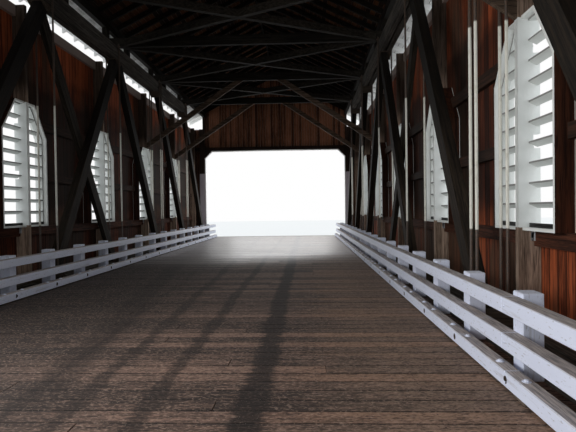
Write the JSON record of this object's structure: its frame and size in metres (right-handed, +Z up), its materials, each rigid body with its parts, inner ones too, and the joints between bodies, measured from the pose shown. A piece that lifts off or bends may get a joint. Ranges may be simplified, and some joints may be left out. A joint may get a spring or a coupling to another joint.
{
  "type": "timber covered bridge",
  "caption": "Timber covered bridge: truss sides with diagonal braces and steel rods, boarded walls with louvered windows, plank deck, guard rails and a gabled roof, on two concrete abutments.",
  "frame": {"origin": "middle of the bridge, on the flat underside of the abutments", "axes": "+Y along the road towards the far portal, +Z up, +X to the right"},
  "size_m": [10.3, 30.22, 11.4174],
  "materials": {
    "concrete": "cast concrete with form lines and stains",
    "deck_planks": "worn planks, darkened in the wheel tracks",
    "truss_timber": "rough sawn, weathered grey brown",
    "roof_timber": "rough sawn, dark grey brown",
    "wall_timber": "rough sawn, weathered, white where it shows through a window",
    "wall_boards": "reddish brown boards inside, white paint outside",
    "white_trim": "white paint on wood",
    "painted_rail": "white paint, dirty and worn on the tops",
    "rod_steel": "painted white beside the windows, dull grey elsewhere",
    "roofing": "weathered wood shingles over boards"
  },
  "bodies": {
    "root": {"abutment_near": "concrete", "abutment_far": "concrete", "floor_beams": "truss_timber", "stringers": "truss_timber", "deck": "deck_planks", "lower_chord_left": "truss_timber", "lower_chord_right": "truss_timber", "top_chord_left": "truss_timber", "top_chord_right": "truss_timber", "main_braces_left": "truss_timber", "main_braces_right": "truss_timber", "counter_braces": "truss_timber", "angle_blocks": "truss_timber", "truss_rods": "rod_steel", "rod_plates": "rod_steel", "cross_beams": "roof_timber", "lateral_braces": "roof_timber", "knee_braces": "roof_timber", "wall_posts_left": "wall_timber", "wall_posts_right": "wall_timber", "girts_left": "wall_timber", "girts_right": "wall_timber", "siding_left": "wall_boards", "siding_right": "wall_boards", "window_frames_left": "white_trim", "window_frames_right": "white_trim", "louvers_left": "white_trim", "louvers_right": "white_trim", "curbs": "painted_rail", "rail_posts": "painted_rail", "guard_rails": "painted_rail", "roof_plates": "roof_timber", "plate_blocks": "roof_timber", "rafters_left": "roof_timber", "rafters_right": "roof_timber", "ridge_board": "roof_timber", "roof_left": "roofing", "roof_right": "roofing", "ridge_cap": "roofing", "portal_frame_near": "wall_timber", "portal_frame_far": "wall_timber", "portal_boards_near": "wall_boards", "portal_boards_far": "wall_boards", "portal_lining": "white_trim"}
  },
  "joints": []
}
